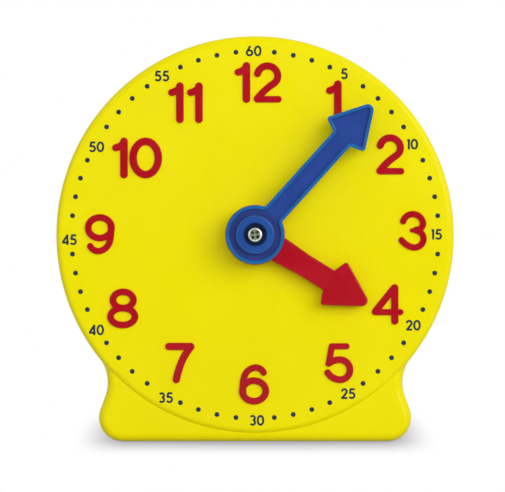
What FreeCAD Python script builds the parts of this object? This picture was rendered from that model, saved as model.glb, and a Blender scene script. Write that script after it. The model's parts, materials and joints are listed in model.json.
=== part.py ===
import FreeCAD, Part
import math
import os
from FreeCAD import Vector

# A geared teaching clock. Millimetres, +Z up, the dial faces -Y, the origin is the
# middle of the whole clock's footprint, on the surface it stands on.
# Depths are counted from the dial face, backwards into the case.

# Case
dial_radius = 49.8
dial_lift = 2.0
wall = 2.0
dial_front_edge_radius = 1.6
dial_back_edge_radius = 1.6

# Base
foot_side_inset = 10.6
foot_corner_radius = 6.0
flare_angle = 20.0
flare_length = 3.6
base_setback = 0.7
base_depth = 29.0
foot_back_height = 7.0
base_ridge_radius = 6.0
base_front_edge_radius = 2.2
base_back_edge_radius = 2.5

# Joint between the two halves of the case
parting_depth = 9.0
seam_width = 0.4
seam_depth = 0.35
lip_height = 1.5
lip_thickness = 1.0
lip_clearance = 0.15
lip_root = 1.0

# Case screws
screw_rim_inset = 8.8
screw_angles = (45.0, 130.0, 230.0, 315.0)
screw_boss_radius = 3.2
screw_cup_radius = 4.2
screw_cup_gap = 0.1
screw_seat_thickness = 1.6
screw_hole_clearance = 0.3
screw_head_clearance = 0.4
screw_hole_end_gap = 0.5
case_screw_head_radius = 2.6
case_screw_head_height = 1.9
case_screw_shank_radius = 1.2
case_screw_length = 7.0
case_screw_tip = 1.0

# Raised hour numerals
numeral_height = 10.0
numeral_stroke = 1.7
numeral_relief = 0.6
numeral_edge_radius = 0.25

# Hands
minute_angle = 42.1
hour_angle = 121.6
hand_gap = 0.25
hand_shaft_width = 5.6
arrow_half_width = 6.4
arrow_length = 11.2
arrow_sweep = 1.4
arrow_tip_radius = 1.5
arrow_barb_radius = 0.75
arrow_notch_radius = 0.4
hub_notch_radius = 1.0

minute_tip_inset = 5.2
minute_hand_thickness = 2.8
minute_hub_radius = 7.3
rim_width = 0.87
rim_height = 0.9
rim_edge_radius = 0.2
hub_boss_radius = 4.85
hub_boss_rise = 0.4
hub_boss_edge_radius = 0.5
counterbore_radius = 2.95
counterbore_depth = 1.7
hub_web_thickness = 0.7

hour_tip_inset = 15.7
hour_hand_thickness = 2.0
hour_hub_radius = 7.45
hour_root_half_width = 3.25
hour_edge_radius = 0.45

# Screw that holds the minute hand
hand_screw_head_radius = 1.96
hand_screw_head_height = 1.4
hand_screw_shank_radius = 1.0
hand_screw_length = 6.0
hand_screw_tip = 0.8
hand_screw_hole_clearance = 0.1

# Cross recess of a screw head, as shares of the head it is cut in
recess_reach_share = 0.66
recess_half_width_share = 0.17
recess_root_reach_share = 0.3
recess_root_half_width_share = 0.1
recess_depth_share = 0.7
head_rounding_share = 0.5
recess_turn = 40.0

# Centre arbor, hour pipe and the bush they turn in
arbor_radius = 2.2
arbor_flat = 1.7
journal_radius = 1.9
running_clearance = 0.05
pipe_radius = 3.7
pipe_flat = 3.1
bush_wall = 1.9
bush_height = 2.4
bush_tail = 1.6
bearing_boss_wall = 1.8
bearing_length = 3.0
bearing_skin = 2.3
screw_pilot_end_gap = 0.6

# Gear train, twelve to one
gear_rim_gap = 5.0
pressure_angle = 25.0
tooth_thinning = 0.12
root_clearance_share = 0.25
minute_pinion_teeth = 15
idler_wheel_teeth = 45
idler_pinion_teeth = 12
hour_wheel_teeth = 48
gear_width = 2.4
gear_gap = 0.3
stage_gap = 0.5
pinion_overhang = 0.2
wheel_hole_count = 6
wheel_hole_radius = 2.6
wheel_hole_circle_share = 0.62
idler_direction = -90.0
idler_pin_radius = 1.5
idler_pin_front_skin = 1.2
idler_boss_height = 1.4
idler_boss_wall = 1.7

overrun = 1.0
tiny = 0.001

# Places that follow from the sizes above
dial_centre = dial_lift + dial_radius
foot_half_width = dial_radius - foot_side_inset
overall_height = dial_centre + dial_radius
screw_circle_radius = dial_radius - screw_rim_inset
minute_apex = dial_radius - minute_tip_inset
hour_apex = dial_radius - hour_tip_inset
hour_hand_back = -(bush_height + hand_gap)
hour_hand_front = hour_hand_back - hour_hand_thickness
minute_hand_back = hour_hand_front - hand_gap
minute_hand_front = minute_hand_back - minute_hand_thickness
hub_front = minute_hand_front - hub_boss_rise
dial_face_y = -(base_depth + hub_front) / 2
bush_radius = pipe_radius + running_clearance + bush_wall
hour_wheel_depth = wall + bush_tail + gear_gap
idler_wheel_depth = hour_wheel_depth + gear_width + stage_gap
minute_pinion_front = idler_wheel_depth - pinion_overhang
minute_pinion_back = idler_wheel_depth + gear_width + pinion_overhang
rear_boss_front = minute_pinion_back + gear_gap
bearing_end = rear_boss_front + bearing_length
case_depth = bearing_end + bearing_skin
journal_back = bearing_end - gear_gap
gear_distance_modules = (minute_pinion_teeth + idler_wheel_teeth) / 2
gear_reach_modules = gear_distance_modules + idler_wheel_teeth / 2 + 1
gear_module = (dial_radius - wall - gear_rim_gap) / gear_reach_modules
gear_distance = gear_module * gear_distance_modules
idler_x = gear_distance * math.cos(math.radians(idler_direction))
idler_z = dial_centre + gear_distance * math.sin(math.radians(idler_direction))

# Digits as strokes with round ends. A stroke is its width, as a share of the numeral's
# stroke, its heading and its points. With no heading it is a straight bar. With one it is
# a chain of arcs, each tangent to the last, that sets out at that angle from +X to +Z.
# Points are shares of the numeral's height, x from the digit's left, z from its foot.
digit_width_share = {
    0: 0.8, 1: 0.38, 2: 0.695, 3: 0.725, 4: 0.79,
    5: 0.73, 6: 0.755, 7: 0.73, 8: 0.78, 9: 0.755,
}
digit_strokes_share = {
    1: [
        (1.14, None, [(0.287, 0.085), (0.287, 0.915)]),
        (1.05, -130, [(0.287, 0.88), (0.08, 0.757)]),
    ],
    2: [
        (1.04, 76, [(0.095, 0.72), (0.35, 0.915), (0.6, 0.68), (0.5, 0.475), (0.085, 0.09)]),
        (0.96, None, [(0.085, 0.08), (0.615, 0.08)]),
    ],
    3: [
        (0.94, 74, [(0.13, 0.735), (0.37, 0.915), (0.62, 0.73), (0.45, 0.525)]),
        (0.94, -5, [(0.46, 0.5), (0.64, 0.3), (0.365, 0.085), (0.09, 0.265)]),
        (0.65, None, [(0.35, 0.51), (0.47, 0.51)]),
    ],
    4: [
        (1.08, None, [(0.575, 0.085), (0.575, 0.915)]),
        (1.02, None, [(0.56, 0.915), (0.088, 0.325)]),
        (0.92, None, [(0.08, 0.308), (0.715, 0.308)]),
    ],
    5: [
        (0.9, None, [(0.19, 0.92), (0.56, 0.92)]),
        (0.94, None, [(0.19, 0.915), (0.12, 0.5)]),
        (1, 38, [(0.115, 0.49), (0.39, 0.585), (0.645, 0.345), (0.38, 0.085), (0.09, 0.26)]),
    ],
    6: [
        (0.96, 100, [(0.115, 0.235), (0.098, 0.47), (0.135, 0.7), (0.37, 0.92), (0.617, 0.8)]),
    ],
    7: [
        (1.08, None, [(0.085, 0.915), (0.635, 0.915)]),
        (1.08, -130, [(0.635, 0.9), (0.4, 0.51), (0.275, 0.085)]),
    ],
}
# Rings, as the band's width and then the left, right, foot and top of its centre line.
digit_rings_share = {
    0: [(1.12, 0.085, 0.715, 0.085, 0.915)],
    6: [(1, 0.085, 0.67, 0.085, 0.598)],
    8: [(1, 0.145, 0.655, 0.51, 0.915), (1, 0.085, 0.695, 0.085, 0.51)],
}
digit_gap_share = {10: 0.05, 11: 0.095, 12: 0.09}
# Centres of the numerals from the dial's centre, as shares of the dial's radius.
numeral_places_share = {
    1: (0.396, 0.673), 2: (0.679, 0.404), 3: (0.79, 0.021), 4: (0.665, -0.349),
    5: (0.42, -0.643), 6: (-0.005, -0.751), 7: (-0.377, -0.643), 8: (-0.664, -0.369),
    9: (-0.779, 0.004), 10: (-0.592, 0.386), 11: (-0.349, 0.663), 12: (0.016, 0.765),
}


# Shared helpers
def at(x, depth, z):
    return Vector(x, dial_face_y + depth, z)


def line(start, end):
    return Part.LineSegment(start, end).toShape()


def arc(start, middle, end):
    return Part.Arc(start, middle, end).toShape()


def arc_between(centre, start, end):
    """Arc about a centre through two points, the short way round."""
    radius = (start - centre).Length
    toward = ((start + end) / 2 - centre).normalize()
    return arc(start, centre + toward * radius, end)


def backward(length):
    return Vector(0, length, 0)


def rod(radius, front, back, x=0, z=None):
    """Round bar along the depth, between two depths."""
    height = dial_centre if z is None else z
    return Part.makeCylinder(radius, back - front, at(x, front, height), Vector(0, 1, 0))


def flat_slab(front, back):
    """Block that holds everything between two depths."""
    half = dial_radius + overrun
    corner = at(-half, front, -overrun)
    return Part.makeBox(2 * half, back - front, overall_height + 2 * overrun, corner)


def turned(shape, angle, x=0, z=None):
    """Turn a shape clockwise, as seen from the front."""
    height = dial_centre if z is None else z
    copy = shape.copy()
    copy.rotate(at(x, 0, height), Vector(0, 1, 0), angle)
    return copy


def runs_along_depth(edge):
    first, last = edge.Vertexes[0].Point, edge.Vertexes[-1].Point
    along = last - first
    return along.Length > 0 and abs(along.y) > along.Length * math.cos(math.radians(1))


def edges_on_depth(shape, depth):
    """Edges that lie in the plane at a depth."""
    found = []
    for edge in shape.Edges:
        box = edge.BoundBox
        if abs(box.YMin - dial_face_y - depth) < tiny and abs(box.YMax - dial_face_y - depth) < tiny:
            found.append(edge)
    return found


def edges_near(shape, places):
    """Edges along the depth that stand at the given (x, z) places."""
    found = []
    for edge in shape.Edges:
        if not runs_along_depth(edge):
            continue
        point = edge.Vertexes[0].Point
        for x, z in places:
            if math.hypot(point.x - x, point.z - z) < tiny:
                found.append(edge)
    return found


def save(name, shape):
    shape.exportStep(os.path.join("parts", name + ".step"))


# Case
def foot_outline(inset):
    """Front view of the base: flat foot, flared sides and necks that meet the dial's circle."""
    flare = math.radians(flare_angle)
    outward = Vector(math.cos(flare), 0, math.sin(flare))
    upward = Vector(-math.sin(flare), 0, math.cos(flare))
    hub = Vector(0, 0, dial_centre)
    corner_centre = Vector(foot_half_width - foot_corner_radius, 0, foot_corner_radius)
    flare_top = corner_centre + outward * foot_corner_radius + upward * flare_length
    reach = flare_top - hub
    side_room = dial_radius - reach.dot(outward)
    neck_radius = (reach.dot(reach) - dial_radius ** 2) / (2 * side_room)
    neck_centre = flare_top + outward * neck_radius
    rim_share = (dial_radius - inset) / (dial_radius + neck_radius)
    points = {
        "foot": Vector(corner_centre.x, 0, inset),
        "corner_centre": corner_centre,
        "flare_foot": corner_centre + outward * (foot_corner_radius - inset),
        "flare_top": flare_top - outward * inset,
        "neck_centre": neck_centre,
        "neck_top": hub + (neck_centre - hub) * rim_share,
    }
    return points


def foot_solid(inset):
    """The base, drawn in by an inset on every side."""
    front = base_setback + inset
    back = base_depth - inset
    right = foot_outline(inset)
    left = {name: Vector(-point.x, 0, point.z) for name, point in right.items()}
    edges = [
        line(left["foot"], right["foot"]),
        arc_between(right["corner_centre"], right["foot"], right["flare_foot"]),
        line(right["flare_foot"], right["flare_top"]),
        arc_between(right["neck_centre"], right["flare_top"], right["neck_top"]),
        line(right["neck_top"], left["neck_top"]),
        arc_between(left["neck_centre"], left["neck_top"], left["flare_top"]),
        line(left["flare_top"], left["flare_foot"]),
        arc_between(left["corner_centre"], left["flare_foot"], left["foot"]),
    ]
    outline = Part.Face(Part.Wire(edges))
    outline.translate(at(0, front, 0))
    block = outline.extrude(backward(back - front))

    climb = foot_outline(0)["neck_top"].z - foot_back_height
    slope = math.atan2(climb, base_depth - case_depth)
    rise = math.tan(slope)
    back_height = foot_back_height - inset * (1 / math.cos(slope) - rise)
    half = foot_half_width + overrun
    side = Part.makePolygon([
        at(-half, front, -overrun),
        at(-half, back, -overrun),
        at(-half, back, back_height),
        at(-half, front, back_height + (back - front) * rise),
        at(-half, front, -overrun),
    ])
    wedge = Part.Face(side).extrude(Vector(2 * half, 0, 0))
    return block.common(wedge).Solids[0]


def rounded_foot():
    """The base with its ridge, front and back edges rounded, but for its top inside the dial."""
    solid = foot_solid(0)
    top = foot_outline(0)["neck_top"].z
    ridge = [
        edge for edge in solid.Edges
        if abs(edge.BoundBox.ZMin - foot_back_height) < tiny
        and abs(edge.BoundBox.ZMax - foot_back_height) < tiny
    ]
    solid = solid.makeFillet(base_ridge_radius, ridge)
    back_edges = []
    for edge in solid.Edges:
        box = edge.BoundBox
        in_front = box.YMax < dial_face_y + base_setback + tiny
        across = box.XMax - box.XMin > foot_half_width and box.ZMin > tiny
        if not (in_front or across or runs_along_depth(edge)):
            back_edges.append(edge)
    solid = solid.makeFillet(base_back_edge_radius, back_edges)
    front_edges = [
        edge for edge in edges_on_depth(solid, base_setback)
        if edge.BoundBox.ZMin < top - tiny
    ]
    return solid.makeFillet(base_front_edge_radius, front_edges)


def rounded_dial():
    solid = rod(dial_radius, 0, case_depth)
    solid = solid.makeFillet(dial_front_edge_radius, edges_on_depth(solid, 0))
    return solid.makeFillet(dial_back_edge_radius, edges_on_depth(solid, case_depth))


def case_body(inset):
    """Dial and base as one plain solid, drawn in by an inset on every side."""
    dial = rod(dial_radius - inset, inset, case_depth - inset)
    return dial.fuse(foot_solid(inset))


def seam_groove(outside):
    """Shallow groove round the outside where the two halves meet."""
    skin = outside.cut(case_body(seam_depth))
    return skin.common(flat_slab(parting_depth - seam_width / 2, parting_depth + seam_width / 2))


def screw_places():
    for angle in screw_angles:
        turn = math.radians(angle)
        x = screw_circle_radius * math.sin(turn)
        z = dial_centre + screw_circle_radius * math.cos(turn)
        yield x, z


def front_shell(outside, hollow, groove):
    shell = outside.cut(hollow).common(flat_slab(-overrun, parting_depth)).cut(groove)
    bush = rod(bush_radius, -bush_height, wall + bush_tail)
    idler_radius = idler_pin_radius + idler_boss_wall
    idler_boss = rod(idler_radius, wall, wall + idler_boss_height, idler_x, idler_z)
    shell = shell.fuse([bush, idler_boss])
    for x, z in screw_places():
        shell = shell.fuse(rod(screw_boss_radius, wall / 2, parting_depth, x, z))
    seat_depth = parting_depth + screw_cup_gap + screw_seat_thickness
    hole_front = seat_depth - case_screw_length - screw_hole_end_gap
    cuts = [
        rod(pipe_radius + running_clearance, -bush_height - overrun, wall + bush_tail + overrun),
        rod(idler_pin_radius, idler_pin_front_skin, wall + idler_boss_height + overrun,
            idler_x, idler_z),
    ]
    for x, z in screw_places():
        cuts.append(rod(case_screw_shank_radius, hole_front, parting_depth + overrun, x, z))
    return shell.cut(cuts)


def back_cover(outside, hollow, groove):
    shell = outside.cut(hollow).common(flat_slab(parting_depth, base_depth + overrun)).cut(groove)
    ring = case_body(wall + lip_clearance).cut(case_body(wall + lip_clearance + lip_thickness))
    lip = ring.common(flat_slab(parting_depth - lip_height, parting_depth + lip_root))
    root = case_body(wall / 2).cut(case_body(wall + lip_clearance + lip_thickness))
    root = root.common(flat_slab(parting_depth + seam_width, parting_depth + lip_root))
    inner_back = case_depth - wall / 2
    journal_boss = rod(journal_radius + bearing_boss_wall, rear_boss_front, inner_back)
    idler_boss = rod(idler_pin_radius + idler_boss_wall, rear_boss_front, inner_back,
                     idler_x, idler_z)
    shell = shell.fuse([lip, root, journal_boss, idler_boss])
    cup_front = parting_depth + screw_cup_gap
    for x, z in screw_places():
        shell = shell.fuse(rod(screw_cup_radius, cup_front, inner_back, x, z))
    cuts = [
        rod(journal_radius + running_clearance, rear_boss_front - overrun, bearing_end),
        rod(idler_pin_radius, rear_boss_front - overrun, bearing_end, idler_x, idler_z),
    ]
    head_depth = cup_front + screw_seat_thickness
    for x, z in screw_places():
        cuts.append(rod(case_screw_shank_radius + screw_hole_clearance, cup_front - overrun,
                        head_depth + overrun, x, z))
        cuts.append(rod(case_screw_head_radius + screw_head_clearance, head_depth,
                        case_depth + overrun, x, z))
    return shell.cut(cuts)


# Screws
def cross_outline(reach, half_width, depth):
    """Outline of a cross recess in the plane at a depth, about the dial's axis."""
    quarter = [(half_width, reach), (half_width, half_width), (reach, half_width)]
    points = []
    for turn in range(4):
        for x, z in quarter:
            for _ in range(turn):
                x, z = z, -x
            points.append(at(x, depth, dial_centre + z))
    return Part.makePolygon(points + points[:1])


def screw(head_radius, head_height, shank_radius, length, tip, seat, facing):
    """Cross recess pan head screw on the dial's axis. Facing -1 shows its head to the front,
    +1 to the back, and the seat is the depth under its head."""
    head = Part.makeCylinder(head_radius, head_height, at(0, seat, dial_centre),
                             Vector(0, facing, 0))
    crown = seat + facing * head_height
    rounding = head_height * head_rounding_share
    head = head.makeFillet(rounding, edges_on_depth(head, crown))
    deep = head_height * recess_depth_share
    recess = Part.makeLoft([
        cross_outline(head_radius * recess_reach_share,
                      head_radius * recess_half_width_share, crown),
        cross_outline(head_radius * recess_root_reach_share,
                      head_radius * recess_root_half_width_share, crown - facing * deep),
    ], True, True)
    shank = Part.makeCylinder(shank_radius, length - tip, at(0, seat, dial_centre),
                              Vector(0, -facing, 0))
    point = Part.makeCone(shank_radius, shank_radius / 2, tip,
                          at(0, seat - facing * (length - tip), dial_centre),
                          Vector(0, -facing, 0))
    whole = head.fuse([shank, point]).removeSplitter().cut(recess)
    return turned(whole, recess_turn)


def hand_screw():
    seat = hub_front + counterbore_depth
    return screw(hand_screw_head_radius, hand_screw_head_height, hand_screw_shank_radius,
                 hand_screw_length, hand_screw_tip, seat, -1)


def case_screws():
    seat = parting_depth + screw_cup_gap + screw_seat_thickness
    one = screw(case_screw_head_radius, case_screw_head_height, case_screw_shank_radius,
                case_screw_length, case_screw_tip, seat, 1)
    placed = []
    for x, z in screw_places():
        copy = one.copy()
        copy.translate(Vector(x, 0, z - dial_centre))
        placed.append(copy)
    return Part.makeCompound(placed)


# Hands
def hand_blank(apex, hub_radius, front, back, root_half_width):
    """Arrow hand that points at twelve: hub, shaft with its root tapering to halfway along,
    and arrow head, with rounded corners."""
    half = hand_shaft_width / 2
    barb = apex - arrow_length
    notch = barb - arrow_sweep
    taper_end = (hub_radius + notch) / 2
    right = [(root_half_width, 0), (root_half_width, hub_radius), (half, taper_end),
             (half, notch), (arrow_half_width, barb)]
    outline = right + [(0, apex)] + [(-x, z) for x, z in reversed(right)]
    points = [at(x, front, dial_centre + z) for x, z in outline]
    arrow = Part.Face(Part.makePolygon(points + points[:1])).extrude(backward(back - front))
    blank = arrow.fuse(rod(hub_radius, front, back)).removeSplitter()
    rounding = [
        (arrow_tip_radius, [(0, apex)]),
        (arrow_barb_radius, [(arrow_half_width, barb), (-arrow_half_width, barb)]),
        (arrow_notch_radius, [(half, notch), (-half, notch)]),
    ]
    for radius, places in rounding:
        corners = edges_near(blank, [(x, dial_centre + z) for x, z in places])
        blank = blank.makeFillet(radius, corners)
    return blank


def rounded_root(blank, hub_radius, half):
    """Round the two corners where a hand's shaft leaves its hub."""
    reach = math.sqrt(hub_radius ** 2 - half ** 2)
    corners = edges_near(blank, [(half, dial_centre + reach), (-half, dial_centre + reach)])
    return blank.makeFillet(hub_notch_radius, corners)


def flatted(radius, flat, front, back):
    """Round bar on the dial's axis with two flats."""
    bar = rod(radius, front, back)
    block = Part.makeBox(2 * flat, back - front, 2 * radius,
                         at(-flat, front, dial_centre - radius))
    return bar.common(block)


def minute_hand():
    half = hand_shaft_width / 2
    blank = hand_blank(minute_apex, minute_hub_radius, minute_hand_front, minute_hand_back, half)
    blank = rounded_root(blank, minute_hub_radius, half)
    face = [f for f in blank.Faces if f.BoundBox.YMax < dial_face_y + minute_hand_front + tiny][0]
    floor = face.makeOffset2D(-rim_width)
    pocket = floor.extrude(backward(rim_height))
    hand = blank.cut(pocket)
    hand = hand.makeFillet(rim_edge_radius, edges_on_depth(hand, minute_hand_front))
    boss = rod(hub_boss_radius, hub_front, minute_hand_front + rim_height)
    boss = boss.makeFillet(hub_boss_edge_radius, edges_on_depth(boss, hub_front))
    hand = hand.fuse(boss)
    web_front = hub_front + counterbore_depth
    cuts = [
        rod(counterbore_radius, hub_front - overrun, web_front),
        rod(hand_screw_shank_radius + hand_screw_hole_clearance, web_front - overrun,
            minute_hand_back + overrun),
        flatted(arbor_radius, arbor_flat, web_front + hub_web_thickness,
                minute_hand_back + overrun),
    ]
    return turned(hand.cut(cuts), minute_angle)


def hour_hand():
    blank = hand_blank(hour_apex, hour_hub_radius, hour_hand_front, hour_hand_back,
                       hour_root_half_width)
    hand = blank.makeFillet(hour_edge_radius, edges_on_depth(blank, hour_hand_front))
    bore = flatted(pipe_radius, pipe_flat, hour_hand_front - overrun, hour_hand_back + overrun)
    return turned(hand.cut(bore), hour_angle)


# Gear train
def involute_point(base, radius, offset):
    """Point of a tooth flank on a circle, with the flank turned by an offset."""
    roll = math.acos(base / radius)
    angle = offset - (math.tan(roll) - roll)
    return radius, angle


def gear_face(teeth, phase, depth, x, z):
    """Outline of a spur gear with one tooth pointing along the phase angle."""
    pitch = gear_module * teeth / 2
    base = pitch * math.cos(math.radians(pressure_angle))
    tip = pitch + gear_module
    root = pitch - gear_module * (1 + root_clearance_share)
    foot = max(base, root)
    roll = math.radians(pressure_angle)
    half_tooth = math.pi / (2 * teeth) - tooth_thinning / (2 * pitch)
    offset = half_tooth + math.tan(roll) - roll

    def spot(radius, angle):
        return at(x + radius * math.cos(angle), depth, z + radius * math.sin(angle))

    edges = []
    for tooth in range(teeth):
        middle = math.radians(phase) + tooth * 2 * math.pi / teeth
        gap = middle + math.pi / teeth
        flank = [involute_point(base, radius, offset) for radius in (foot, (foot + tip) / 2, tip)]
        root_angle = flank[0][1]
        if foot > root:
            edges.append(line(spot(root, middle - root_angle), spot(foot, middle - root_angle)))
        rising = [spot(radius, middle - angle) for radius, angle in flank]
        falling = [spot(radius, middle + angle) for radius, angle in reversed(flank)]
        edges.append(arc(*rising))
        edges.append(arc(rising[-1], spot(tip, middle), falling[0]))
        edges.append(arc(*falling))
        if foot > root:
            edges.append(line(spot(foot, middle + root_angle), spot(root, middle + root_angle)))
        next_angle = middle + 2 * math.pi / teeth - root_angle
        edges.append(arc(spot(root, middle + root_angle), spot(root, gap),
                         spot(root, next_angle)))
    return Part.Face(Part.Wire(edges))


def gear(teeth, phase, front, back, x=0, z=None):
    height = dial_centre if z is None else z
    return gear_face(teeth, phase, front, x, height).extrude(backward(back - front))


def wheel_holes(teeth, front, back, x, z):
    circle = gear_module * teeth / 2 * wheel_hole_circle_share
    for number in range(wheel_hole_count):
        angle = (number + 1 / 2) * 2 * math.pi / wheel_hole_count
        yield rod(wheel_hole_radius, front - overrun, back + overrun,
                  x + circle * math.cos(angle), z + circle * math.sin(angle))


def minute_arbor():
    web_back = hub_front + counterbore_depth + hub_web_thickness
    tip = flatted(arbor_radius, arbor_flat, web_back, minute_hand_back)
    shaft = rod(arbor_radius, minute_hand_back, minute_pinion_back)
    pinion = gear(minute_pinion_teeth, idler_direction, minute_pinion_front, minute_pinion_back)
    journal = rod(journal_radius, minute_pinion_back, journal_back)
    arbor = turned(tip, minute_angle).fuse([shaft, pinion, journal])
    pilot_end = hub_front + counterbore_depth + hand_screw_length + screw_pilot_end_gap
    return arbor.cut(rod(hand_screw_shank_radius, web_back - overrun, pilot_end))


def hour_wheel():
    gap_phase = idler_direction + math.degrees(math.pi / hour_wheel_teeth)
    back = hour_wheel_depth + gear_width
    wheel = gear(hour_wheel_teeth, gap_phase, hour_wheel_depth, back)
    wheel = wheel.cut(list(wheel_holes(hour_wheel_teeth, hour_wheel_depth, back, 0, dial_centre)))
    pipe = rod(pipe_radius, hour_hand_back, hour_wheel_depth)
    tip = turned(flatted(pipe_radius, pipe_flat, hour_hand_front, hour_hand_back), hour_angle)
    bore = rod(arbor_radius + running_clearance, hour_hand_front - overrun, back + overrun)
    return wheel.fuse([pipe, tip]).cut(bore)


def idler_gear():
    toward_centre = idler_direction + 180
    gap_phase = toward_centre + math.degrees(math.pi / idler_wheel_teeth)
    wheel_back = idler_wheel_depth + gear_width
    front = hour_wheel_depth - pinion_overhang
    wheel = gear(idler_wheel_teeth, gap_phase, idler_wheel_depth, wheel_back, idler_x, idler_z)
    wheel = wheel.cut(list(wheel_holes(idler_wheel_teeth, idler_wheel_depth, wheel_back,
                                       idler_x, idler_z)))
    pinion = gear(idler_pinion_teeth, toward_centre, front, idler_wheel_depth, idler_x, idler_z)
    hub_radius = idler_pin_radius + idler_boss_wall
    hub = rod(hub_radius, wheel_back, wheel_back + pinion_overhang, idler_x, idler_z)
    bore = rod(idler_pin_radius + running_clearance, front - overrun, wheel_back + overrun,
               idler_x, idler_z)
    return wheel.fuse([pinion, hub]).cut(bore)


def idler_pin():
    return rod(idler_pin_radius, idler_pin_front_skin, bearing_end, idler_x, idler_z)


# Numerals
def capsule(start, end, radius):
    """Straight stroke with round ends."""
    along = (end - start).normalize()
    across = Vector(-along.z, 0, along.x) * radius
    outline = [
        line(start + across, end + across),
        arc(end + across, end + along * radius, end - across),
        line(end - across, start - across),
        arc(start - across, start - along * radius, start + across),
    ]
    return Part.Face(Part.Wire(outline))


def tangent_arc(start, heading, end):
    """Arc that leaves a point at a heading and reaches another, and its heading there."""
    chord = end - start
    turn = 2 * (math.atan2(chord.z, chord.x) - heading)
    turn = math.remainder(turn, 2 * math.pi)
    radius = chord.Length / (2 * math.sin(turn / 2))
    half_way = 2 * radius * math.sin(turn / 4)
    toward = heading + turn / 4
    middle = start + Vector(math.cos(toward), 0, math.sin(toward)) * half_way
    return arc(start, middle, end), heading + turn


def stroke_face(stroke, place, tilt):
    """Stroke with round ends, with its headings turned by a tilt."""
    width_share, heading, shares = stroke
    radius = numeral_stroke * width_share / 2
    points = [place(*share) for share in shares]
    if heading is None:
        return capsule(points[0], points[1], radius)
    edges = []
    toward = math.radians(heading + tilt)
    for start, end in zip(points, points[1:]):
        edge, toward = tangent_arc(start, toward, end)
        edges.append(edge)
    return Part.Wire(edges).makeOffset2D(radius, 0, True, False, False)


def ring_face(ring, place):
    """Oval band of the numeral's stroke, from the sides of its centre line."""
    width_share, left, right, foot, top = ring
    growth = numeral_stroke * width_share / 2
    centre = place((left + right) / 2, (foot + top) / 2)
    half_width = numeral_height * (right - left) / 2
    half_height = numeral_height * (top - foot) / 2
    ovals = []
    for side in (1, -1):
        wide = half_width + side * growth
        tall = half_height + side * growth
        if wide > tall:
            oval = Part.Ellipse(centre + Vector(wide, 0, 0), centre + Vector(0, 0, tall), centre)
        else:
            oval = Part.Ellipse(centre + Vector(0, 0, tall), centre + Vector(wide, 0, 0), centre)
        ovals.append(Part.Face(Part.Wire(oval.toShape())))
    return ovals[0].cut(ovals[1])


def digit(number, left, foot):
    """One raised digit with its box's lower left corner at a place on the dial."""
    def upright(x_share, z_share):
        return at(left + numeral_height * x_share, -numeral_relief,
                  foot + numeral_height * z_share)

    def upside_down(x_share, z_share):
        return upright(digit_width_share[6] - x_share, 1 - z_share)

    drawn, place, tilt = (6, upside_down, 180) if number == 9 else (number, upright, 0)
    faces = [ring_face(ring, place) for ring in digit_rings_share.get(drawn, [])]
    for stroke in digit_strokes_share.get(drawn, []):
        faces.append(stroke_face(stroke, place, tilt))
    solids = []
    for face in faces:
        solid = face.extrude(backward(numeral_relief)).Solids[0]
        front_edges = edges_on_depth(solid, -numeral_relief)
        solids.append(solid.makeFillet(numeral_edge_radius, front_edges).Solids[0])
    if len(solids) == 1:
        return solids[0]
    return solids[0].fuse(solids[1:]).Solids[0]


def numeral(hour):
    digits = [int(figure) for figure in str(hour)]
    gap = numeral_height * digit_gap_share.get(hour, 0)
    widths = [numeral_height * digit_width_share[number] for number in digits]
    whole_width = sum(widths) + gap * (len(digits) - 1)
    x_share, z_share = numeral_places_share[hour]
    left = dial_radius * x_share - whole_width / 2
    foot = dial_centre + dial_radius * z_share - numeral_height / 2
    solids = []
    for number, width in zip(digits, widths):
        solids.append(digit(number, left, foot))
        left += width + gap
    return solids[0] if len(solids) == 1 else Part.makeCompound(solids)


def main():
    os.makedirs("parts", exist_ok=True)
    outside = rounded_dial().fuse(rounded_foot())
    hollow = case_body(wall)
    groove = seam_groove(outside)
    save("front_shell", front_shell(outside, hollow, groove))
    save("back_cover", back_cover(outside, hollow, groove))
    save("case_screws", case_screws())
    save("minute_hand", minute_hand())
    save("hour_hand", hour_hand())
    save("hand_screw", hand_screw())
    save("minute_arbor", minute_arbor())
    save("hour_wheel", hour_wheel())
    save("idler_gear", idler_gear())
    save("idler_pin", idler_pin())
    for hour in numeral_places_share:
        save("numeral_%02d" % hour, numeral(hour))


main()
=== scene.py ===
import json
import math

import bpy
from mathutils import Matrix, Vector


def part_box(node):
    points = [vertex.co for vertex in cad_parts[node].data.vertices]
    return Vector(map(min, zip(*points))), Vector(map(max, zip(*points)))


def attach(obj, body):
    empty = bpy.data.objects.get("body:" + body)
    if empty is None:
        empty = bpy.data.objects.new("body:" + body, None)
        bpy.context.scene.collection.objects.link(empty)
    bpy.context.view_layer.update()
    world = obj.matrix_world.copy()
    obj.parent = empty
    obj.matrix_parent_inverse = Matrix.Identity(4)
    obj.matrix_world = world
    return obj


# The geared teaching clock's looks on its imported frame. Metres, +Z up, the dial faces -Y.
MM = 0.001
# The watts at which a lamp one metre off lights a surface to a level of 1
WATTS_PER_LEVEL = math.pi ** 2

# The photograph's frame, and the clock's places in it
frame_width_px = 505
frame_height_px = 492
pixel = 0.25 * MM
clock_middle_px = 255.1
ground_px = 442.1
print_centre_px = (255.78, 234.57)
camera_distance = 750 * MM
sensor_width = 36.0
clip_start = 7.5 * MM
clip_end = 100.0

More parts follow.
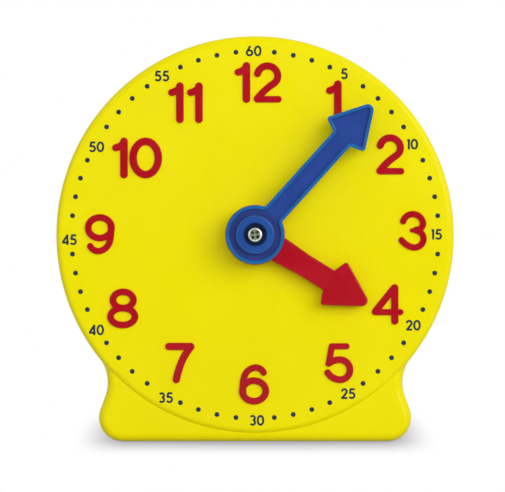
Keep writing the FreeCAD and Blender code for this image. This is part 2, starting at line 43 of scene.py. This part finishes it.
# Printed minute scale
minutes_round = 60
number_every = 5
ink_height = 0.03 * MM
ink_root = 0.01 * MM
stroke_drop_share = 0.04
dot_ring_radius = 45.9 * MM
dot_radius = 0.62 * MM
dot_shoulder_share = 0.86
dot_sides = 28
number_height = 2.6 * MM
number_stroke_share = 0.20
digit_gap_share = 0.1
arc_step = 9.0
number_places_px = {
    5: (344.9, 73.5), 10: (413.1, 143.9), 15: (437.2, 234.0), 20: (413.9, 324.9),
    25: (348.8, 393.3), 30: (257.6, 420.0), 35: (166.5, 397.3), 40: (97.0, 329.6),
    45: (69.9, 239.4), 50: (97.2, 146.5), 55: (162.5, 75.7), 60: (254.3, 50.6),
}
# Digits in shares of the number's height, x from the left and z from the foot. A line is
# its points. An arc is its centre, its radii and the angles that it runs between.
digit_width_share = {0: 0.69, 1: 0.27, 2: 0.62, 3: 0.58, 4: 0.67, 5: 0.65, 6: 0.69}
digit_lines_share = {
    1: [[(0.19, 0.0), (0.19, 1.0)], [(0.19, 0.9), (0.03, 0.85)]],
    2: [[(0.51, 0.58), (0.1, 0.05)], [(0.02, 0.078), (0.6, 0.078)]],
    4: [[(0.53, 0.0), (0.53, 1.0)], [(0.53, 0.93), (0.08, 0.24)], [(0.03, 0.235), (0.67, 0.235)]],
    5: [[(0.15, 0.922), (0.6, 0.922)], [(0.21, 0.93), (0.13, 0.5)]],
    6: [[(0.1, 0.42), (0.42, 0.98)]],
}
digit_arcs_share = {
    0: [((0.345, 0.5), (0.268, 0.423), (0, 360))],
    2: [((0.32, 0.69), (0.232, 0.232), (178, -30))],
    3: [((0.28, 0.715), (0.2, 0.207), (155, -90)), ((0.28, 0.295), (0.223, 0.218), (90, -152))],
    5: [((0.315, 0.325), (0.257, 0.25), (137, -150))],
    6: [((0.345, 0.315), (0.268, 0.238), (0, 360))],
}

# Where the hub's colours and its painted shade change, as radii from the axis that the hands turn
# on
well_edge = (2.5 * MM, 3.15 * MM)
boss_edge = (4.6 * MM, 4.9 * MM)
groove_edge = (5.7 * MM, 7.0 * MM)
crown_edge = (1.15 * MM, 1.5 * MM)
recess_floor_edge = (0.35 * MM, 0.6 * MM)
# The recess's painted light: lighter above the axis than below it
recess_painted_light_heights = (-0.4 * MM, 0.6 * MM)
# How far the minute hand's rim lies behind its boss, and the depths over which the rim's painted
# highlight and the recess's painted shade change, measured from the rim's top and from the hub
# screw's
rim_behind_boss = 0.4 * MM
rim_fade = (0.05 * MM, 0.75 * MM)
recess_fade = (0.05 * MM, 0.3 * MM)

# Colours as they look in plain light
yellow = (0.85, 0.752, 0.0)
yellow_shade = (0.835, 0.735, 0.0)
cover_yellow = (0.83, 0.73, 0.0)
numeral_red = (0.430, 0.001, 0.010)
numeral_red_shade = (0.393, 0.001, 0.008)
hand_red = (0.448, 0.002, 0.014)
hand_red_shade = (0.410, 0.002, 0.011)
blue_floor = (0.019, 0.060, 0.30)
# Painted light on the blue hand: the rim's blue holds a painted highlight, and the groove's and
# the well's blues are painted shade
blue_rim_painted_highlight = (0.006, 0.118, 0.39)
blue_boss = (0.0145, 0.077, 0.335)
blue_groove_painted_shade = (0.026, 0.047, 0.212)
blue_well_painted_shade = (0.008, 0.022, 0.070)
blue_shade_share = 0.88
navy = (0.012, 0.026, 0.055)
navy_thin = (0.020, 0.038, 0.070)
nickel = (0.78, 0.82, 0.72)
nickel_shade = (0.56, 0.60, 0.50)
# Painted shade on the screw's crown, and painted light and shade in its cross recess: a lighter
# floor, grey arms lit above the axis and black arms shaded below
nickel_crown_painted_shade = (0.50, 0.57, 0.43)
recess_floor = (0.36, 0.43, 0.28)
recess_painted_light_grey = (0.10, 0.125, 0.07)
recess_painted_shade_black = (0.012, 0.014, 0.008)
recess_metal_share = 0.25
zinc = (0.62, 0.63, 0.64)
zinc_shade = (0.50, 0.50, 0.49)
steel = (0.66, 0.66, 0.66)
steel_shade = (0.56, 0.56, 0.57)
acetal = (0.80, 0.80, 0.76)
acetal_shade = (0.74, 0.74, 0.70)
floor_colour = (0.52, 0.52, 0.52)

# Noise: the part of its range that colour clouds, uneven gloss and thin ink take up, and
# how much fine detail each kind of noise has
cloud_range = (0.35, 0.65)
gloss_range = (0.3, 0.7)
thin_ink_range = (0.5, 0.75)
cloud_detail = 2.0
fine_detail = 4.0
grain_detail = 3.0
swell_detail = 1.0
# How strongly the bump of grain, of a plastic's swells and of a metal's lines shows
grain_strength = 0.5
swell_strength = 0.4
line_strength = 0.4
# A plastic's gloss spots to one colour cloud, and its swells in grains, across and deep
gloss_spots_per_cloud = 3
swell_width_grains = 25
swell_depth_grains = 6

# Moulded plastics: colour and shade, cloud size, roughness from and to, grain size, grain
# depth and specular level
plastics = {
    "case_plastic": (yellow, yellow_shade, 18 * MM, (0.10, 0.15), 0.25 * MM, 0.001 * MM, 0.09),
    "cover_plastic": (cover_yellow, yellow_shade, 14 * MM, (0.22, 0.32), 0.30 * MM,
                      0.004 * MM, 0.25),
    "numeral_plastic": (numeral_red, numeral_red_shade, 6 * MM, (0.10, 0.16), 0.20 * MM,
                        0.001 * MM, 0.18),
    "hour_hand_plastic": (hand_red, hand_red_shade, 8 * MM, (0.11, 0.17), 0.22 * MM,
                          0.001 * MM, 0.18),
    "gear_plastic": (acetal, acetal_shade, 5 * MM, (0.40, 0.55), 0.15 * MM, 0.004 * MM, 0.3),
}
# Steels: colour and shade, roughness from and to, how the lines are stretched, their depth
steels = {
    "case_screw_zinc": (zinc, zinc_shade, (0.28, 0.42), (1, 1, 1), 0.003 * MM),
    "pin_steel": (steel, steel_shade, (0.22, 0.34), (1, 0.1, 1), 0.002 * MM),
}
steel_stain_size = 1.2 * MM
steel_line_size = 0.12 * MM
# The blue hand's plastic
blue_cloud_size = 5 * MM
blue_gloss_size = 2 * MM
blue_roughness = (0.10, 0.16)
blue_specular = 0.3
blue_grain_size = 0.2 * MM
blue_grain_depth = 0.001 * MM
# The hub screw's nickel plate
nickel_stain_size = 0.5 * MM
nickel_line_size = 0.10 * MM
nickel_line_depth = 0.002 * MM
nickel_roughness = (0.22, 0.34)
# The print's ink
ink_cloud_size = 0.35 * MM
ink_gloss_size = 0.15 * MM
ink_roughness = (0.20, 0.30)
ink_specular = 0.2
ink_grain_size = 0.1 * MM
ink_grain_depth = 0.003 * MM

# Lamps: the light that each gives the dial, its angles to the right and up, distance, size
# and whether it shows in gloss
lamps = {
    "right_softbox": (0.43, 35.0, 18.0, 1.3, (1.00, 0.80), True),
    "left_softbox": (0.055, -45.0, 14.0, 1.3, (1.10, 0.60), True),
    "front_fill": (0.265, 0.0, 8.0, 1.3, (0.70, 0.40), False),
}
# Light from all round: its level in front of the dial's plane, the white room's level
# behind it, and the share of the way back over which one turns into the other
ambient_level = 0.31
background_level = 1.0
behind_dial = (0.0, 0.3)
# Dark card behind the camera, which only gloss shows
card_distance = 0.9
card_size = 0.8
card_level = 0.02
# The floor, and the painted shade it shows the camera: how open a spot is where it is darkest and
# where it is white, both levels, how far round the openness counts and in how many samples
floor_size = 12.0
floor_open = (0.50, 0.80)
floor_darkest = 0.446
floor_white = 1.0
floor_reach = 0.40
floor_samples = 32
# A painted soft shadow in place of the one the lamps cast: how dark it gets, where it starts and
# ends behind the dial's face, where its sides fade and how much wider they are with each length
# behind
painted_shadow_strength = 0.62
painted_shadow_start = (-50 * MM, 18 * MM)
painted_shadow_end = (45 * MM, 150 * MM)
painted_shadow_fade = (31.6 * MM, 46.1 * MM)
painted_shadow_widening = 0.035


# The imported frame, the dial's face in it and the height of the axis that the hands turn on
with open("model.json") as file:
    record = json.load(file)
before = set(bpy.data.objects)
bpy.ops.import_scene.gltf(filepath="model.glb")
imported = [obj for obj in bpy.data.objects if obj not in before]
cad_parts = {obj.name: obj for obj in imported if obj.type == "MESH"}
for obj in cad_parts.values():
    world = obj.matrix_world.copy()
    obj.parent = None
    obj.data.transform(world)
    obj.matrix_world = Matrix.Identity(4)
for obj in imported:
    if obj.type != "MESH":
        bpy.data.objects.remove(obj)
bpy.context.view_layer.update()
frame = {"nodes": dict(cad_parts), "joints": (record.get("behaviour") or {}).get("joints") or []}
face_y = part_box("numeral_12")[1].y
dial_z = next(j for j in frame["joints"] if j["name"] == "minute_spin")["pos_m"][2]


# Meshes
def mesh_object(name, vertices, faces):
    mesh = bpy.data.meshes.new(name)
    mesh.from_pydata(vertices, [], faces)
    mesh.validate()
    mesh.update()
    made = bpy.data.objects.new(name, mesh)
    bpy.context.scene.collection.objects.link(made)
    return made


def square_corners(size):
    half = size / 2
    return [(-half, -half), (half, -half), (half, half), (-half, half)]


def place_on_dial(px):
    """A point of the dial's face seen at a pixel of the photograph."""
    x = (px[0] - print_centre_px[0]) * pixel
    z = dial_z - (px[1] - print_centre_px[1]) * pixel
    return x, z


def arc_points(centre, radii, angles):
    start, end = angles
    count = max(2, math.ceil(abs(end - start) / arc_step))
    points = []
    for number in range(count + 1):
        angle = math.radians(start + (end - start) * number / count)
        points.append((centre[0] + radii[0] * math.cos(angle),
                       centre[1] + radii[1] * math.sin(angle)))
    return points


def sides_of(points, half, closed):
    """Both sides of a stroke along points, square to its direction."""
    left, right = [], []
    last = len(points) - 1
    for number, (x, z) in enumerate(points):
        if closed:
            before, after = points[number - 1], points[(number + 1) % len(points)]
        else:
            before, after = points[max(number - 1, 0)], points[min(number + 1, last)]
        along = Vector((after[0] - before[0], after[1] - before[1])).normalized()
        left.append((x - along.y * half, z + along.x * half))
        right.append((x + along.y * half, z - along.x * half))
    return left, right


def add_stroke(vertices, faces, points, half, closed, front, back):
    """Closed slab of ink along one stroke of a digit."""
    left, right = sides_of(points, half, closed)
    base = len(vertices)
    for (left_x, left_z), (right_x, right_z) in zip(left, right):
        vertices.append((left_x, front, left_z))
        vertices.append((right_x, front, right_z))
        vertices.append((right_x, back, right_z))
        vertices.append((left_x, back, left_z))
    count = len(points)
    for number in range(count if closed else count - 1):
        here = base + 4 * number
        there = base + 4 * ((number + 1) % count)
        for corner in range(4):
            following = (corner + 1) % 4
            faces.append((here + corner, here + following, there + following, there + corner))
    if not closed:
        end = base + 4 * (count - 1)
        faces.append((base + 3, base + 2, base + 1, base))
        faces.append((end, end + 1, end + 2, end + 3))


def strokes_of(digit):
    """A digit's strokes in shares of its height, each with whether it closes on itself."""
    strokes = [(line, False) for line in digit_lines_share.get(digit, [])]
    for centre, radii, angles in digit_arcs_share.get(digit, []):
        closed = angles[1] - angles[0] == 360
        points = arc_points(centre, radii, angles)
        strokes.append((points[:-1] if closed else points, closed))
    return strokes


def printed_number(value, place):
    """A printed number as ink on the dial, each stroke a little lower than the one before."""
    half = number_height * number_stroke_share / 2
    digits = [int(figure) for figure in str(value)]
    widths = [digit_width_share[digit] for digit in digits]
    left = -(sum(widths) + digit_gap_share * (len(digits) - 1)) / 2
    vertices, faces = [], []
    for digit, width in zip(digits, widths):
        for number, (shares, closed) in enumerate(strokes_of(digit)):
            points = [(place[0] + number_height * (left + x),
                       place[1] + number_height * (z - 0.5)) for x, z in shares]
            front = face_y - ink_height * (1 - number * stroke_drop_share)
            add_stroke(vertices, faces, points, half, closed, front, face_y + ink_root)
        left += width + digit_gap_share
    return mesh_object("minute_number_%02d" % value, vertices, faces)


def printed_dots():
    """The minute dots, left out at every number, as small domes of ink."""
    vertices, faces = [], []
    rings = [
        (dot_radius, face_y + ink_root),
        (dot_radius, face_y - ink_height / 2),
        (dot_radius * dot_shoulder_share, face_y - ink_height),
    ]
    for minute in range(minutes_round):
        if minute % number_every == 0:
            continue
        turn = math.radians(360 / minutes_round * minute)
        x = dot_ring_radius * math.sin(turn)
        z = dial_z + dot_ring_radius * math.cos(turn)
        base = len(vertices)
        for radius, y in rings:
            for side in range(dot_sides):
                angle = 2 * math.pi * side / dot_sides
                vertices.append((x + radius * math.cos(angle), y, z + radius * math.sin(angle)))
        for ring in range(len(rings) - 1):
            for side in range(dot_sides):
                here = base + ring * dot_sides + side
                beside = base + ring * dot_sides + (side + 1) % dot_sides
                faces.append((here, beside, beside + dot_sides, here + dot_sides))
        top = base + (len(rings) - 1) * dot_sides
        faces.append([top + side for side in range(dot_sides)])
        faces.append([base + side for side in reversed(range(dot_sides))])
    return mesh_object("minute_dots", vertices, faces)


# Nodes
def cleared_tree(owner):
    """The emptied node tree of a material or the world."""
    owner.use_nodes = True
    owner.node_tree.nodes.clear()
    return owner.node_tree


def show(tree, surface, kind="ShaderNodeOutputMaterial"):
    """Make a shader's output the surface that shows."""
    tree.links.new(surface, tree.nodes.new(kind).inputs["Surface"])


def new_material(name):
    material = bpy.data.materials.new(name)
    tree = cleared_tree(material)
    shader = tree.nodes.new("ShaderNodeBsdfPrincipled")
    show(tree, shader.outputs["BSDF"])
    return material, tree, shader


def object_point(tree):
    return tree.nodes.new("ShaderNodeTexCoord").outputs["Object"]


def coordinate(tree, point, axis):
    split = tree.nodes.new("ShaderNodeSeparateXYZ")
    tree.links.new(point, split.inputs["Vector"])
    return split.outputs[axis]


def noise(tree, size, detail, stretch=(1, 1, 1)):
    """Even noise whose grains are about a size across."""
    mapping = tree.nodes.new("ShaderNodeMapping")
    mapping.inputs["Scale"].default_value = stretch
    texture = tree.nodes.new("ShaderNodeTexNoise")
    texture.inputs["Scale"].default_value = 1 / size
    texture.inputs["Detail"].default_value = detail
    tree.links.new(object_point(tree), mapping.inputs["Vector"])
    tree.links.new(mapping.outputs["Vector"], texture.inputs["Vector"])
    return texture.outputs["Fac"]


def spread(tree, value, from_low, from_high, to_low, to_high, course="SMOOTHSTEP"):
    """Map a value to a range, without running past its ends."""
    node = tree.nodes.new("ShaderNodeMapRange")
    node.interpolation_type = course
    node.inputs["From Min"].default_value = from_low
    node.inputs["From Max"].default_value = from_high
    node.inputs["To Min"].default_value = to_low
    node.inputs["To Max"].default_value = to_high
    tree.links.new(value, node.inputs["Value"])
    return node.outputs["Result"]


def clouds(tree, size, detail=cloud_detail, least=0):
    """Soft clouds between least and 1."""
    return spread(tree, noise(tree, size, detail), *cloud_range, least, 1)


def calculate(tree, operation, *values):
    """A sum on values, each a number or another node's output."""
    node = tree.nodes.new("ShaderNodeMath")
    node.operation = operation
    for socket, value in zip(node.inputs, values):
        if isinstance(value, (int, float)):
            socket.default_value = value
        else:
            tree.links.new(value, socket)
    return node.outputs["Value"]


def blend_colours(tree, share, first, second):
    """Mix two colours, each a tuple or another node's output."""
    node = tree.nodes.new("ShaderNodeMix")
    node.data_type = "RGBA"
    tree.links.new(share, node.inputs["Factor"])
    sockets = [s for s in node.inputs if s.type == "RGBA"]
    for socket, colour in zip(sockets, (first, second)):
        if isinstance(colour, tuple):
            socket.default_value = (*colour, 1)
        else:
            tree.links.new(colour, socket)
    return [s for s in node.outputs if s.type == "RGBA"][0]


def choose_shader(tree, share, first, second):
    node = tree.nodes.new("ShaderNodeMixShader")
    tree.links.new(share, node.inputs["Fac"])
    tree.links.new(first, node.inputs[1])
    tree.links.new(second, node.inputs[2])
    return node.outputs["Shader"]


def radius_on_dial(tree):
    """Distance from the axis that the hands turn on."""
    point = object_point(tree)
    for operation, constant in (("SUBTRACT", (0, 0, dial_z)), ("MULTIPLY", (1, 0, 1))):
        step = tree.nodes.new("ShaderNodeVectorMath")
        step.operation = operation
        step.inputs[1].default_value = constant
        tree.links.new(point, step.inputs[0])
        point = step.outputs["Vector"]
    length = tree.nodes.new("ShaderNodeVectorMath")
    length.operation = "LENGTH"
    tree.links.new(point, length.inputs[0])
    return length.outputs["Value"]


def set_gloss(tree, shader, value, roughness):
    """Roughness that varies with noise between its two ends."""
    tree.links.new(spread(tree, value, *gloss_range, *roughness), shader.inputs["Roughness"])


def add_bump(tree, shader, layers):
    """Stack height layers, each a height, its depth and a strength."""
    normal = None
    for height, depth, strength in layers:
        node = tree.nodes.new("ShaderNodeBump")
        node.inputs["Distance"].default_value = depth
        node.inputs["Strength"].default_value = strength
        tree.links.new(height, node.inputs["Height"])
        if normal is not None:
            tree.links.new(normal, node.inputs["Normal"])
        normal = node.outputs["Normal"]
    tree.links.new(normal, shader.inputs["Normal"])


# Materials
def plastic(name):
    """Moulded plastic: soft colour clouds, fine grain and uneven gloss."""
    colour, shade, cloud_size, roughness, grain_size, grain_depth, specular = plastics[name]
    material, tree, shader = new_material(name)
    tint = blend_colours(tree, clouds(tree, cloud_size), shade, colour)
    tree.links.new(tint, shader.inputs["Base Color"])
    spots = noise(tree, cloud_size / gloss_spots_per_cloud, fine_detail)
    set_gloss(tree, shader, spots, roughness)
    shader.inputs["Specular IOR Level"].default_value = specular
    grain = noise(tree, grain_size, grain_detail)
    swell = noise(tree, grain_size * swell_width_grains, swell_detail)
    add_bump(tree, shader, [(grain, grain_depth, grain_strength),
                            (swell, grain_depth * swell_depth_grains, swell_strength)])
    return material


def blue_hand_plastic():
    """Blue plastic: a raised rim with a painted highlight, and painted shade in the groove and
    the well at the hub.
    """
    material, tree, shader = new_material("minute_hand_plastic")
    rim_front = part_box("minute_hand")[0].y + rim_behind_boss
    depth = coordinate(tree, object_point(tree), "Y")
    rim_top, rim_foot = rim_fade
    raised = spread(tree, depth, rim_front + rim_foot, rim_front + rim_top, 0, 1)
    radius = radius_on_dial(tree)
    past_well = spread(tree, radius, *well_edge, 0, 1)
    past_boss = spread(tree, radius, *boss_edge, 0, 1)
    past_groove = spread(tree, radius, *groove_edge, 0, 1)
    # Painted shade darkens the groove and the well, and a painted highlight lightens the raised
    # rim
    low = blend_colours(tree, past_groove, blue_groove_painted_shade, blue_floor)
    body = blend_colours(tree, raised, low, blue_rim_painted_highlight)
    hub = blend_colours(tree, past_well, blue_well_painted_shade, blue_boss)
    tint = blend_colours(tree, past_boss, hub, body)
    shaded = tree.nodes.new("ShaderNodeVectorMath")
    shaded.operation = "SCALE"
    tree.links.new(tint, shaded.inputs["Vector"])
    tree.links.new(clouds(tree, blue_cloud_size, least=blue_shade_share), shaded.inputs["Scale"])
    tree.links.new(shaded.outputs["Vector"], shader.inputs["Base Color"])
    set_gloss(tree, shader, noise(tree, blue_gloss_size, fine_detail), blue_roughness)
    shader.inputs["Specular IOR Level"].default_value = blue_specular
    grain = noise(tree, blue_grain_size, grain_detail)
    add_bump(tree, shader, [(grain, blue_grain_depth, grain_strength)])
    return material


def ruled_steel(name):
    """Plated or ground steel with fine lines along one direction."""
    colour, shade, roughness, stretch, line_depth = steels[name]
    material, tree, shader = new_material(name)
    stain = clouds(tree, steel_stain_size, fine_detail)
    tree.links.new(blend_colours(tree, stain, shade, colour), shader.inputs["Base Color"])
    shader.inputs["Metallic"].default_value = 1.0
    lines = noise(tree, steel_line_size, grain_detail, stretch)
    set_gloss(tree, shader, lines, roughness)
    add_bump(tree, shader, [(lines, line_depth, line_strength)])
    return material


def hub_screw_nickel():
    """Nickel plate with painted shade on its crown, and a dull cross recess in painted light and
    shade: blacker towards its foot, lighter above the axis than below, and lighter at its floor.
    """
    material, tree, shader = new_material("hand_screw_nickel")
    screw_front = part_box("hand_screw")[0].y
    stain = clouds(tree, nickel_stain_size, fine_detail)
    plate = blend_colours(tree, stain, nickel_shade, nickel)
    depth = coordinate(tree, object_point(tree), "Y")
    crown, recess_foot = recess_fade
    deep = spread(tree, depth, screw_front + crown, screw_front + recess_foot, 0, 1)
    radius = radius_on_dial(tree)
    in_crown = spread(tree, radius, *crown_edge, 1, 0)
    recessed = calculate(tree, "MULTIPLY", deep, in_crown)
    height = calculate(tree, "SUBTRACT", coordinate(tree, object_point(tree), "Z"), dial_z)
    # Painted light and shade in the recess: grey above the axis, black below it, lighter at its
    # floor
    painted_light_share = spread(tree, height, *recess_painted_light_heights, 0, 1)
    arms = blend_colours(tree, painted_light_share, recess_painted_shade_black, recess_painted_light_grey)
    past_floor = spread(tree, radius, *recess_floor_edge, 0, 1)
    recess_light_and_shade = blend_colours(tree, past_floor, recess_floor, arms)
    # Painted shade darkens the crown round the recess
    plate_with_painted_shade = blend_colours(tree, in_crown, plate, nickel_crown_painted_shade)
    tree.links.new(blend_colours(tree, recessed, plate_with_painted_shade, recess_light_and_shade), shader.inputs["Base Color"])
    metal_share = spread(tree, recessed, 0, 1, 1, recess_metal_share)
    tree.links.new(metal_share, shader.inputs["Metallic"])
    lines = noise(tree, nickel_line_size, grain_detail)
    set_gloss(tree, shader, lines, nickel_roughness)
    add_bump(tree, shader, [(lines, nickel_line_depth, line_strength)])
    return material


def ink():
    """Navy print, a little thin in places."""
    material, tree, shader = new_material("minute_print_ink")
    thin = spread(tree, noise(tree, ink_cloud_size, fine_detail), *thin_ink_range, 0, 1)
    tree.links.new(blend_colours(tree, thin, navy, navy_thin), shader.inputs["Base Color"])
    set_gloss(tree, shader, noise(tree, ink_gloss_size, grain_detail), ink_roughness)
    shader.inputs["Specular IOR Level"].default_value = ink_specular
    grain = noise(tree, ink_grain_size, cloud_detail)
    add_bump(tree, shader, [(grain, ink_grain_depth, grain_strength)])
    return material


def paint(nodes, material):
    for node in nodes:
        for slot in frame["nodes"][node].material_slots:
            slot.material = material


# Room
def seen_directly(tree):
    """1 for rays from the camera, mirrors and glass, and 0 for the rest."""
    path = tree.nodes.new("ShaderNodeLightPath")
    total = path.outputs["Is Camera Ray"]
    for name in ("Is Glossy Ray", "Is Transmission Ray"):
        total = calculate(tree, "MAXIMUM", total, path.outputs[name])
    return total


def open_shade(tree):
    """Painted shade: how much darker the floor is drawn where the clock keeps the room's light
    off it.
    """
    openness = tree.nodes.new("ShaderNodeAmbientOcclusion")
    openness.inputs["Distance"].default_value = floor_reach
    openness.samples = floor_samples
    darkest = floor_white - floor_darkest
    return spread(tree, openness.outputs["AO"], *floor_open, darkest, 0, "LINEAR")


def shade_on_floor(tree):
    """The darker of the painted open shade and the painted shadow, out to where the sides fade.
    """
    behind = calculate(tree, "SUBTRACT", coordinate(tree, object_point(tree), "Y"), face_y)
    # A painted shadow behind the dial's face, in place of the one the lamps cast
    start = spread(tree, behind, *painted_shadow_start, 0, painted_shadow_strength)
    end = spread(tree, behind, *painted_shadow_end, 1, 0)
    painted_shadow = calculate(tree, "MULTIPLY", start, end)
    dark = calculate(tree, "MAXIMUM", open_shade(tree), painted_shadow)
    aside = calculate(tree, "ABSOLUTE", coordinate(tree, object_point(tree), "X"))
    widening = calculate(tree, "MULTIPLY", behind, painted_shadow_widening)
    fade = spread(tree, calculate(tree, "SUBTRACT", aside, widening), *painted_shadow_fade, 1, 0)
    return calculate(tree, "MULTIPLY", dark, fade)


def floor_material():
    """Pale floor that shows white to the camera, darkened by its painted shade and painted
    shadow.
    """
    material = bpy.data.materials.new("studio_floor")
    tree = cleared_tree(material)
    matte = tree.nodes.new("ShaderNodeBsdfDiffuse")
    matte.inputs["Color"].default_value = (*floor_colour, 1)
    glow = tree.nodes.new("ShaderNodeEmission")
    level = calculate(tree, "SUBTRACT", floor_white, shade_on_floor(tree))
    tree.links.new(level, glow.inputs["Strength"])
    show(tree, choose_shader(tree, seen_directly(tree), matte.outputs["BSDF"],
                             glow.outputs["Emission"]))
    return material


def make_floor():
    corners = [(x, y, 0) for x, y in square_corners(floor_size)]
    floor = mesh_object("studio_floor", corners, [(0, 1, 2, 3)])
    floor.data.materials.append(floor_material())


def make_dark_card():
    """A dark card behind the camera, so that the dial's flat face mirrors no white."""
    corners = [(x, face_y - card_distance, dial_z + z) for x, z in square_corners(card_size)]
    card = mesh_object("dark_card", corners, [(0, 1, 2, 3)])
    material = bpy.data.materials.new("dark_card")
    tree = cleared_tree(material)
    glow = tree.nodes.new("ShaderNodeEmission")
    glow.inputs["Strength"].default_value = card_level
    show(tree, glow.outputs["Emission"])
    card.data.materials.append(material)
    card.visible_camera = False
    card.visible_diffuse = False
    card.visible_shadow = False
    card.visible_transmission = False


def make_world():
    """White where it is seen directly, and a softer light from all round for the rest."""
    world = bpy.data.worlds.new("studio_world")
    tree = cleared_tree(world)
    direction = tree.nodes.new("ShaderNodeTexCoord").outputs["Generated"]
    all_round = spread(tree, coordinate(tree, direction, "Y"), *behind_dial,
                       ambient_level, background_level)
    light = tree.nodes.new("ShaderNodeBackground")
    backdrop = tree.nodes.new("ShaderNodeBackground")
    for shade in (light, backdrop):
        shade.inputs["Color"].default_value = (1, 1, 1, 1)
    tree.links.new(all_round, light.inputs["Strength"])
    backdrop.inputs["Strength"].default_value = background_level
    show(tree, choose_shader(tree, seen_directly(tree), light.outputs["Background"],
                             backdrop.outputs["Background"]), "ShaderNodeOutputWorld")
    bpy.context.scene.world = world


def make_lamps(target):
    for name, (level, aside, above, distance, size, in_gloss) in lamps.items():
        data = bpy.data.lights.new(name, "AREA")
        data.shape = "RECTANGLE"
        data.size, data.size_y = size
        turn, rise = math.radians(aside), math.radians(above)
        toward = Vector((math.sin(turn) * math.cos(rise), -math.cos(turn) * math.cos(rise),
                         math.sin(rise)))
        facing = math.cos(turn) * math.cos(rise)
        data.energy = level * WATTS_PER_LEVEL * distance ** 2 / facing
        lamp = bpy.data.objects.new(name, data)
        bpy.context.scene.collection.objects.link(lamp)
        lamp.location = target + toward * distance
        lamp.rotation_euler = (-toward).to_track_quat("-Z", "Y").to_euler()
        lamp.visible_glossy = in_gloss


def make_camera():
    """A camera square to the dial, at the photograph's framing."""
    data = bpy.data.cameras.new("photo_camera")
    camera = bpy.data.objects.new("photo_camera", data)
    bpy.context.scene.collection.objects.link(camera)
    bpy.context.scene.camera = camera
    x = (frame_width_px / 2 - clock_middle_px) * pixel
    z = (ground_px - frame_height_px / 2) * pixel
    camera.location = (x, face_y - camera_distance, z)
    camera.rotation_euler = (math.pi / 2, 0, 0)
    data.sensor_width = sensor_width
    data.lens = sensor_width * camera_distance / (frame_width_px * pixel)
    data.clip_start = clip_start
    data.clip_end = clip_end
    data.dof.use_dof = False


paint(["front_shell"], plastic("case_plastic"))
paint(["back_cover"], plastic("cover_plastic"))
paint(["numeral_%02d" % hour for hour in range(1, 13)], plastic("numeral_plastic"))
paint(["hour_hand"], plastic("hour_hand_plastic"))
paint(["minute_arbor", "hour_wheel", "idler_gear"], plastic("gear_plastic"))
paint(["minute_hand"], blue_hand_plastic())
paint(["hand_screw"], hub_screw_nickel())
paint(["case_screws"], ruled_steel("case_screw_zinc"))
paint(["idler_pin"], ruled_steel("pin_steel"))

print_ink = ink()
printed = [printed_dots()]
printed += [printed_number(value, place_on_dial(px)) for value, px in number_places_px.items()]
for piece in printed:
    piece.data.materials.append(print_ink)
    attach(piece, "case")

make_floor()
make_dark_card()
make_world()
make_lamps(Vector((0, face_y, dial_z)))
make_camera()
bpy.context.scene.view_settings.view_transform = "Standard"
